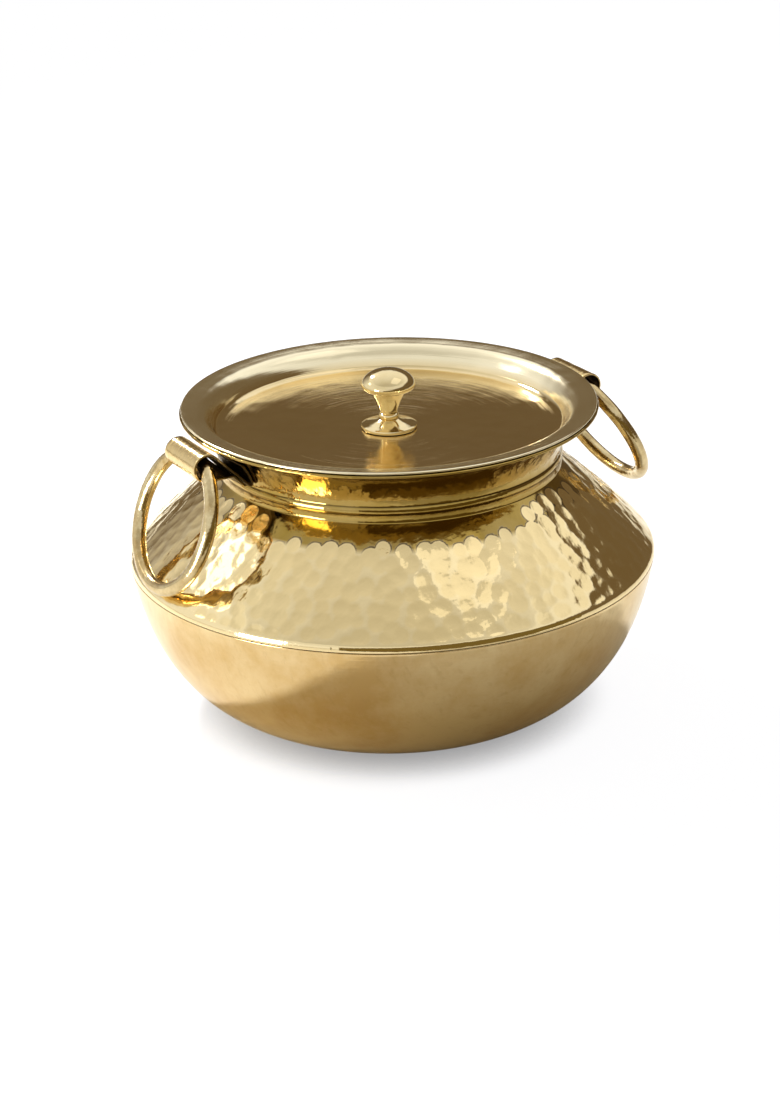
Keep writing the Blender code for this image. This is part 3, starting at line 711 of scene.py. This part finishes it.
lid_seat = RIM_HEIGHT + LID_SEAT_GAP
flange_edge = Vector((LID_RADIUS - LID_SHEET / 2, lid_seat + LID_SHEET / 2))
flange_start = Vector((LID_RADIUS - FLANGE_WIDTH, lid_seat + LID_SHEET - FLANGE_RISE))
tray_edge = Vector((TRAY_RADIUS, lid_seat + LID_SHEET - TRAY_DEPTH))
tray_middle = Vector((SCREW_BORE, tray_edge.y - TRAY_SAG))
dish_radius = (TRAY_RADIUS**2 + TRAY_SAG**2) / (2 * TRAY_SAG)
dish_centre = Vector((0, tray_middle.y + dish_radius))
dish_reach = math.asin((TRAY_RADIUS - TRAY_FOLD_RADIUS) / dish_radius)
dish = arc(dish_centre, dish_radius, -math.pi / 2, dish_reach - math.pi / 2, DISH_STEPS)
tray_wall = curve(TRAY_WALL_SHARES, tray_edge, flange_start, TRAY_WALL_STEPS)
lid_top = [tray_middle] + dish[1:] + tray_wall[2:] + [flange_start.lerp(flange_edge, 0.5)]
lid_top = lid_top + [Vector((flange_edge.x, flange_edge.y + LID_SHEET / 2))]
lid_under = sideways([lid_top[0]] + lid_top[3:-1:3] + [lid_top[-1]], -LID_SHEET)
lid_edge = arc(flange_edge, LID_SHEET / 2, math.pi / 2, -math.pi / 2, LID_EDGE_STEPS)
lid_outline = lid_top + lid_edge[1:] + lid_under[-2::-1]
lid_plate = turned_piece("dished_lid", lid_outline, LID_TURN_STEPS, closed=True)

# Polished lid brass: clouded by hand polishing and paler where cloths rub the wall and flange,
# with turning rings about 0.4 mm apart, drawn twice as coarse so that they show, and shallow
# waves left by the hammer that trued the tray.
brass, shader, place = new_material("polished_lid_brass", lid_plate)
clouds = add_node(brass, "ShaderNodeTexNoise", {
    "Vector": place, "Scale": 45.0, "Detail": 5.0, "Roughness": 0.6,
})
level = add_node(brass, "ShaderNodeMapping", {"Vector": place, "Scale": (1, 1, 0)})
from_middle = add_node(brass, "ShaderNodeVectorMath", {0: level.outputs[0]}, operation="LENGTH")
split = add_node(brass, "ShaderNodeSeparateXYZ", {"Vector": place})
ring_place = add_node(brass, "ShaderNodeCombineXYZ", {
    "X": split.outputs["X"], "Y": split.outputs["Y"], "Z": from_middle.outputs["Value"],
})
ring_scale = add_node(brass, "ShaderNodeMapping", {
    "Vector": ring_place.outputs[0], "Scale": (6, 6, 1200),
})
rings = add_node(brass, "ShaderNodeTexNoise", {
    "Vector": ring_scale.outputs[0], "Scale": 1.0, "Detail": 3.0, "Roughness": 0.6,
})
waves = add_node(brass, "ShaderNodeTexVoronoi", {
    "Vector": place, "Scale": 95.0, "Smoothness": 0.6, "Randomness": 0.9,
}, feature="SMOOTH_F1")
tone = add_node(brass, "ShaderNodeMix", {
    0: clouds.outputs["Fac"], 6: linear("#F2DEB0"), 7: linear("#DCC490"),
}, data_type="RGBA")
past_tray = add_node(brass, "ShaderNodeMapRange", {
    "Value": from_middle.outputs["Value"], "From Min": 0.0852, "From Max": 0.0870,
})
rubbed = add_node(brass, "ShaderNodeMix", {
    0: past_tray.outputs[0], 6: tone.outputs[2], 7: linear("#F6EAC8"),
}, data_type="RGBA")
polish = add_node(brass, "ShaderNodeMapRange", {
    "Value": clouds.outputs["Fac"], "From Min": 0.3, "From Max": 0.7,
    "To Min": 0.03, "To Max": 0.08,
})
gloss = add_node(brass, "ShaderNodeMath", {
    0: past_tray.outputs[0], 1: 0.10, 2: polish.outputs[0],
}, operation="MULTIPLY_ADD")
ring_marks = add_node(brass, "ShaderNodeBump", {
    "Strength": 0.25, "Distance": 0.0004, "Height": rings.outputs["Fac"],
})
wave_marks = add_node(brass, "ShaderNodeBump", {
    "Strength": 0.11, "Distance": 0.002, "Height": waves.outputs["Distance"],
    "Normal": ring_marks.outputs[0],
})
join_surface(brass, shader, rubbed.outputs[2], gloss.outputs[0], wave_marks.outputs[0])

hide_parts("lid_plate")
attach(lid_plate, "lid")


# The knob: cast brass, turned to a spread base, a small collar, a waisted stem and a domed cap,
# then polished like a mirror. A screw from below the lid holds it.
KNOB_BASE_RADIUS = 0.01375
KNOB_HEIGHT = 0.0298
KNOB_CAP_RADIUS = 0.0132
KNOB_NECK_RADIUS = 0.0043
KNOB_COLLAR_RADIUS = 0.0050
KNOB_BASE_SHARES = (
    (0.96, 0.0), (0.99, 0.004), (1.0, 0.014), (1.0, 0.040), (0.985, 0.054), (0.955, 0.060),
)
KNOB_SPREAD_TOP_SHARE = 0.152
KNOB_SPREAD_SHARES = ((0.0, 0.0), (0.43, 0.27), (0.84, 0.60), (1.0, 1.0))
KNOB_COLLAR_HEIGHT_SHARE = 0.205
KNOB_COLLAR_TUBE_SHARE = 0.048
KNOB_COLLAR_REACH = math.radians(72)
KNOB_NECK_HEIGHT_SHARE = 0.27
KNOB_STEM_TOP_SHARES = (0.64, 0.62)
KNOB_STEM_SHARES = ((0.0, 0.0), (0.05, 0.26), (0.745, 0.77), (1.0, 1.0))
KNOB_LIP_SHARES = (
    (0.72, 0.632), (0.84, 0.648), (0.90, 0.665), (0.96, 0.683), (0.99, 0.703), (1.0, 0.725),
)
KNOB_SPREAD_STEPS = 12
KNOB_COLLAR_STEPS = 10
KNOB_STEM_STEPS = 16
KNOB_DOME_STEPS = 20
KNOB_TURN_STEPS = 96
SCREW_REACH = 0.0093

knob_seat = Vector((0, tray_middle.y + SEAM_GAP))


def knob_points(shares, radius):
    return [Vector((radius * out, KNOB_HEIGHT * up)) for out, up in shares]


knob_base = knob_points(KNOB_BASE_SHARES, KNOB_BASE_RADIUS)
spread_top = Vector((KNOB_COLLAR_RADIUS, KNOB_HEIGHT * KNOB_SPREAD_TOP_SHARE))
spread = curve(KNOB_SPREAD_SHARES, knob_base[-1], spread_top, KNOB_SPREAD_STEPS)
collar_tube = KNOB_HEIGHT * KNOB_COLLAR_TUBE_SHARE
collar_centre = (KNOB_COLLAR_RADIUS - collar_tube, KNOB_HEIGHT * KNOB_COLLAR_HEIGHT_SHARE)
collar = arc(
    collar_centre, collar_tube, -KNOB_COLLAR_REACH, KNOB_COLLAR_REACH, KNOB_COLLAR_STEPS
)
stem_foot = Vector((KNOB_NECK_RADIUS, KNOB_HEIGHT * KNOB_NECK_HEIGHT_SHARE))
stem_top = knob_points([KNOB_STEM_TOP_SHARES], KNOB_CAP_RADIUS)[0]
stem = curve(KNOB_STEM_SHARES, stem_foot, stem_top, KNOB_STEM_STEPS)
knob_lip = knob_points(KNOB_LIP_SHARES, KNOB_CAP_RADIUS)
dome_shape = Vector((1, (KNOB_HEIGHT - knob_lip[-1].y) / KNOB_CAP_RADIUS))
dome = arc((0, 0), KNOB_CAP_RADIUS, 0, math.pi / 2, KNOB_DOME_STEPS)
dome = [point * dome_shape + Vector((0, knob_lip[-1].y)) for point in dome[1:]]
dome[-1].x = 0
drilled = [Vector((0, SCREW_REACH)), Vector((SCREW_BORE, SCREW_REACH)), Vector((SCREW_BORE, 0))]
knob_outline = drilled + knob_base + spread[1:] + collar + stem + knob_lip + dome
knob_outline = [point + knob_seat for point in knob_outline]
knob = turned_piece("turned_knob", knob_outline, KNOB_TURN_STEPS)

# Mirror-polished cast brass: pale, with only a trace of unevenness and a few hairlines.
brass, shader, place = new_material("mirror_polished_brass", knob)
clouds = add_node(brass, "ShaderNodeTexNoise", {
    "Vector": place, "Scale": 180.0, "Detail": 3.0, "Roughness": 0.5,
})
hair_place = add_node(brass, "ShaderNodeMapping", {"Vector": place, "Scale": (200, 200, 2400)})
hairs = add_node(brass, "ShaderNodeTexNoise", {
    "Vector": hair_place.outputs[0], "Scale": 1.0, "Detail": 2.0, "Roughness": 0.5,
})
tone = add_node(brass, "ShaderNodeMix", {
    0: clouds.outputs["Fac"], 6: linear("#EDDDB2"), 7: linear("#DFC892"),
}, data_type="RGBA")
gloss = add_node(brass, "ShaderNodeMapRange", {
    "Value": hairs.outputs["Fac"], "From Min": 0.3, "From Max": 0.7, "To Min": 0.05, "To Max": 0.12,
})
uneven = add_node(brass, "ShaderNodeBump", {
    "Strength": 0.12, "Distance": 0.001, "Height": clouds.outputs["Fac"],
})
join_surface(brass, shader, tone.outputs[2], gloss.outputs[0], uneven.outputs[0])

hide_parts("lid_knob")
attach(knob, "lid")


# The knob's screw and washer, under the lid: a slotted round-head brass screw and a plain turned
# washer, both left as they came from the lathe.
SCREW_RADIUS = 0.0020
SCREW_HEAD_RADIUS = 0.0040
SCREW_HEAD_HEIGHT = 0.0022
SCREW_LENGTH = 0.0121
SCREW_TIP = 0.0005
SLOT_WIDTH = 0.0009
SLOT_DEPTH = 0.0011
SCREW_HEAD_STEPS = 12
SCREW_TURN_STEPS = 48
WASHER_RADIUS = 0.0060
WASHER_THICKNESS = 0.0010
WASHER_ROUND = 0.0002
WASHER_ROUND_STEPS = 3
WASHER_TURN_STEPS = 64

washer_seat = Vector((0, tray_middle.y - LID_SHEET - SEAM_GAP - WASHER_THICKNESS))
washer_top = Vector((WASHER_RADIUS - WASHER_ROUND, WASHER_THICKNESS - WASHER_ROUND))
washer_foot = Vector((WASHER_RADIUS - WASHER_ROUND, WASHER_ROUND))
washer_outline = (
    [Vector((SCREW_BORE, 0))]
    + arc(washer_foot, WASHER_ROUND, -math.pi / 2, 0, WASHER_ROUND_STEPS)
    + arc(washer_top, WASHER_ROUND, 0, math.pi / 2, WASHER_ROUND_STEPS)
    + [Vector((SCREW_BORE, WASHER_THICKNESS))]
)
washer_outline = [point + washer_seat for point in washer_outline]
washer = turned_piece("turned_washer", washer_outline, WASHER_TURN_STEPS, closed=True)

screw_seat = washer_seat - Vector((0, SEAM_GAP))
head_shape = Vector((1, SCREW_HEAD_HEIGHT / SCREW_HEAD_RADIUS))
head = arc((0, 0), SCREW_HEAD_RADIUS, -math.pi / 2, 0, SCREW_HEAD_STEPS)
head = [point * head_shape for point in head]
head[0].x = 0
shank = [
    Vector((SCREW_RADIUS, 0)),
    Vector((SCREW_RADIUS, SCREW_LENGTH + SCREW_TIP)),
    Vector((SCREW_RADIUS - SCREW_TIP, SCREW_LENGTH + 2 * SCREW_TIP)),
    Vector((0, SCREW_LENGTH + 2 * SCREW_TIP)),
]
screw_outline = [point + screw_seat for point in head + shank]
screw = turned_piece("slotted_screw", screw_outline, SCREW_TURN_STEPS)
slot_middle = (0, 0, screw_seat.y - SCREW_HEAD_HEIGHT)
bpy.ops.mesh.primitive_cube_add(size=1, location=slot_middle)
slot_cutter = bpy.context.object
slot_cutter.scale = (SCREW_HEAD_RADIUS * 3, SLOT_WIDTH, SLOT_DEPTH * 2)
bpy.ops.object.transform_apply(location=True, scale=True)
cut = screw.modifiers.new("slot", "BOOLEAN")
cut.object = slot_cutter
bpy.context.view_layer.objects.active = screw
bpy.ops.object.modifier_apply(modifier="slot")
bpy.data.objects.remove(slot_cutter)

# Plain turned brass: even yellow, with close tool rings that soften its shine.
brass, shader, place = new_material("plain_turned_brass", screw)
level = add_node(brass, "ShaderNodeMapping", {"Vector": place, "Scale": (1, 1, 0)})
from_middle = add_node(brass, "ShaderNodeVectorMath", {0: level.outputs[0]}, operation="LENGTH")
tool_rings = add_node(brass, "ShaderNodeMath", {
    0: from_middle.outputs["Value"], 1: 25000.0,
}, operation="MULTIPLY")
tool_wave = add_node(brass, "ShaderNodeMath", {0: tool_rings.outputs[0]}, operation="SINE")
clouds = add_node(brass, "ShaderNodeTexNoise", {
    "Vector": place, "Scale": 400.0, "Detail": 3.0, "Roughness": 0.5,
})
tone = add_node(brass, "ShaderNodeMix", {
    0: clouds.outputs["Fac"], 6: linear("#D9B872"), 7: linear("#BE9850"),
}, data_type="RGBA")
gloss = add_node(brass, "ShaderNodeMapRange", {
    "Value": clouds.outputs["Fac"], "From Min": 0.3, "From Max": 0.7, "To Min": 0.26, "To Max": 0.4,
})
tool_marks = add_node(brass, "ShaderNodeBump", {
    "Strength": 0.2, "Distance": 0.0001, "Height": tool_wave.outputs[0],
})
join_surface(brass, shader, tone.outputs[2], gloss.outputs[0], tool_marks.outputs[0])
washer.data.materials.append(brass)

for piece, node in ((screw, "knob_screw"), (washer, "knob_washer")):
    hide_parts(node)
    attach(piece, "lid")


# The studio: a white floor that, to the camera, darkens only where the pot nearly touches it, and
# that in the brass carries a painted glow growing away from the pot; a large soft box up on the
# right, a small key light from the back left, and what shows in the polished brass: three cards,
# a dim room with a bright left side, and a pale ceiling.
FLOOR_SIZE = 6.0
FLOOR_DROP = 0.0002
VIEW_AZIMUTH = math.radians(-29.5)
VIEW_ELEVATION = math.radians(22.12)
VIEW_ROLL = math.radians(-1.40)
VIEW_DISTANCE = 1.3963
VIEW_HEIGHT = 0.0753
VIEW_SHIFT = -0.00117
PHOTO_HEIGHT = 1108
PHOTO_FOCAL = 2800
SENSOR_WIDTH = 36
SOFT_BOX_SIZE = (1.0, 0.6)
SOFT_BOX_WATTS = 0.62
KEY_SIZE = (0.10, 0.10)
KEY_WATTS = 10.0

bpy.ops.object.select_all(action="DESELECT")
bpy.ops.mesh.primitive_plane_add(size=FLOOR_SIZE, location=(0, 0, -FLOOR_DROP))
floor = bpy.context.object
floor.name = "white_floor"
paper = bpy.data.materials.new("white_paper")
paper.use_nodes = True
paper.node_tree.nodes.clear()
ray = add_node(paper, "ShaderNodeLightPath", {})
mirrored = add_node(paper, "ShaderNodeMath", {
    0: ray.outputs["Is Glossy Ray"], 1: ray.outputs["Is Transmission Ray"],
}, operation="MAXIMUM")
# Painted light: seen in the brass, the floor glows more the further it lies from the pot, up to
# 0.23 m, so the floor next to the pot reads as shade in the reflections.
spot = add_node(paper, "ShaderNodeTexCoord", {}).outputs["Object"]
from_pot = add_node(paper, "ShaderNodeVectorMath", {0: spot}, operation="LENGTH")
brighter_away = add_node(paper, "ShaderNodeMapRange", {
    "Value": from_pot.outputs["Value"], "From Min": 0.12, "From Max": 0.23, "To Max": 0.30,
})
reflected_glow = add_node(paper, "ShaderNodeMath", {
    0: mirrored.outputs[0], 1: brighter_away.outputs[0],
}, operation="MULTIPLY")
open_floor = add_node(paper, "ShaderNodeAmbientOcclusion", {"Distance": 0.034})
contact = add_node(paper, "ShaderNodeMapRange", {
    "Value": open_floor.outputs["AO"], "From Max": 0.55, "To Min": 0.32, "To Max": 0.945,
}, interpolation_type="SMOOTHSTEP")
lifted = add_node(paper, "ShaderNodeMix", {
    0: ray.outputs["Is Camera Ray"], 2: reflected_glow.outputs[0], 3: contact.outputs[0],
}, data_type="FLOAT")
shade = add_node(paper, "ShaderNodeMix", {
    0: ray.outputs["Is Camera Ray"], 6: linear("#EDEDED"), 7: linear("#8A8C90"),
}, data_type="RGBA")
matt = add_node(paper, "ShaderNodeBsdfDiffuse", {"Color": shade.outputs[2]})
white = add_node(paper, "ShaderNodeEmission", {
    "Color": linear("#FBFCFF"), "Strength": lifted.outputs["Result"],
})
mixed = add_node(paper, "ShaderNodeAddShader", {0: matt.outputs[0], 1: white.outputs[0]})
add_node(paper, "ShaderNodeOutputMaterial", {"Surface": mixed.outputs[0]})
floor.data.materials.append(paper)

view_right = Vector((math.cos(VIEW_AZIMUTH), math.sin(VIEW_AZIMUTH), 0))
view_away = Vector((-math.sin(VIEW_AZIMUTH), math.cos(VIEW_AZIMUTH), 0))


def studio_point(right, away, height):
    """A place in the studio as seen from the camera: to the right, further away, and up."""
    return view_right * right + view_away * away + Vector((0, 0, height))


def soft_light(name, place, size, watts):
    """A rectangular white lamp, aimed at the middle of the pot."""
    lamp = bpy.data.lights.new(name, "AREA")
    lamp.shape = "RECTANGLE"
    lamp.size, lamp.size_y = size
    lamp.energy = watts
    light = bpy.data.objects.new(name, lamp)
    light.location = place
    light.visible_camera = False
    aim = place - Vector((0, 0, VIEW_HEIGHT))
    light.rotation_euler = aim.to_track_quat("Z", "Y").to_euler()
    bpy.context.scene.collection.objects.link(light)


soft_light("soft_box", studio_point(0.55, -0.05, 1.5), SOFT_BOX_SIZE, SOFT_BOX_WATTS)
soft_light("key_light", studio_point(-0.42, 0.57, 0.72), KEY_SIZE, KEY_WATTS)


def room_card(name, place, size, colour, strength):
    """A card out of the picture, glowing with one colour, that only the brass sees."""
    bpy.ops.mesh.primitive_plane_add(size=1, location=place)
    card = bpy.context.object
    card.name = name
    card.scale = (*size, 1)
    aim = Vector((0, 0, place.z)) - place
    card.rotation_euler = aim.to_track_quat("Z", "Y").to_euler()
    card.visible_camera = card.visible_diffuse = card.visible_shadow = False
    face = bpy.data.materials.new(name)
    face.use_nodes = True
    face.node_tree.nodes.clear()
    glow = add_node(face, "ShaderNodeEmission", {"Color": linear(colour), "Strength": strength})
    add_node(face, "ShaderNodeOutputMaterial", {"Surface": glow.outputs[0]})
    card.data.materials.append(face)


room_card("dark_flag", studio_point(0.13, -0.27, 0.10), (0.62, 0.20), "#77663A", 1.0)
room_card("white_reflector", studio_point(-0.31, -0.27, 0.10), (0.13, 0.20), "#FFFFFF", 14.0)
room_card("window_card", studio_point(-0.52, 0.10, 0.46), (0.16, 0.13), "#FFFFFF", 2.5)

sky = bpy.data.worlds.new("white_studio")
bpy.context.scene.world = sky
sky.use_nodes = True
surround = sky.node_tree.nodes["Background"]
towards = add_node(sky, "ShaderNodeTexCoord", {}).outputs["Generated"]
split = add_node(sky, "ShaderNodeSeparateXYZ", {"Vector": towards})
leftward = add_node(sky, "ShaderNodeVectorMath", {
    0: towards, 1: studio_point(-0.906, -0.423, 0),
}, operation="DOT_PRODUCT")
window = add_node(sky, "ShaderNodeMapRange", {
    "Value": leftward.outputs["Value"], "From Min": 0.0, "From Max": 0.65,
})
onward = add_node(sky, "ShaderNodeVectorMath", {
    0: towards, 1: view_away,
}, operation="DOT_PRODUCT")
raised = add_node(sky, "ShaderNodeMapRange", {
    "Value": onward.outputs["Value"], "From Min": -0.9, "From Max": 0.0,
    "To Min": 0.2, "To Max": 0.0,
})
height = add_node(sky, "ShaderNodeMath", {
    0: split.outputs["Z"], 1: raised.outputs[0],
}, operation="ADD")
above = add_node(sky, "ShaderNodeMapRange", {
    "Value": height.outputs[0], "From Min": 0.49, "From Max": 0.55,
})
room = add_node(sky, "ShaderNodeMix", {
    0: window.outputs[0], 6: linear("#73634B"), 7: (1, 1, 1, 1),
}, data_type="RGBA")
behind = add_node(sky, "ShaderNodeMapRange", {
    "Value": onward.outputs["Value"], "From Min": -0.5, "From Max": 0.6,
})
overhead = add_node(sky, "ShaderNodeMapRange", {
    "Value": split.outputs["Z"], "From Min": 0.66, "From Max": 0.72,
})
front = add_node(sky, "ShaderNodeMix", {
    0: overhead.outputs[0], 6: linear("#F2F2F0"), 7: linear("#D2D0CA"),
}, data_type="RGBA")
ceiling = add_node(sky, "ShaderNodeMix", {
    0: behind.outputs[0], 6: front.outputs[2], 7: (1.1, 1.1, 1.1, 1),
}, data_type="RGBA")
mirrored = add_node(sky, "ShaderNodeMix", {
    0: above.outputs[0], 6: room.outputs[2], 7: ceiling.outputs[2],
}, data_type="RGBA")
ray = add_node(sky, "ShaderNodeLightPath", {})
reflected = add_node(sky, "ShaderNodeMath", {
    0: ray.outputs["Is Glossy Ray"], 1: ray.outputs["Is Transmission Ray"],
}, operation="MAXIMUM")
lit = add_node(sky, "ShaderNodeMix", {
    0: reflected.outputs[0], 6: linear("#A0967C"), 7: mirrored.outputs[2],
}, data_type="RGBA")
seen = add_node(sky, "ShaderNodeMix", {
    0: ray.outputs["Is Camera Ray"], 6: lit.outputs[2], 7: (1, 1, 1, 1),
}, data_type="RGBA")
sky.node_tree.links.new(seen.outputs[2], surround.inputs["Color"])

view_back = studio_point(0, -math.cos(VIEW_ELEVATION), math.sin(VIEW_ELEVATION))
view_target = studio_point(VIEW_SHIFT, 0, VIEW_HEIGHT)
eye_data = bpy.data.cameras.new("photo_view")
eye_data.sensor_width = SENSOR_WIDTH
eye_data.lens = SENSOR_WIDTH * PHOTO_FOCAL / PHOTO_HEIGHT
camera = bpy.data.objects.new("photo_view", eye_data)
turn = view_back.to_track_quat("Z", "Y").to_matrix().to_4x4()
place = Matrix.Translation(view_target + view_back * VIEW_DISTANCE)
camera.matrix_world = place @ turn @ Matrix.Rotation(VIEW_ROLL, 4, "Z")
bpy.context.scene.collection.objects.link(camera)
bpy.context.scene.camera = camera
bpy.context.scene.view_settings.view_transform = "Standard"

bpy.context.view_layer.update()
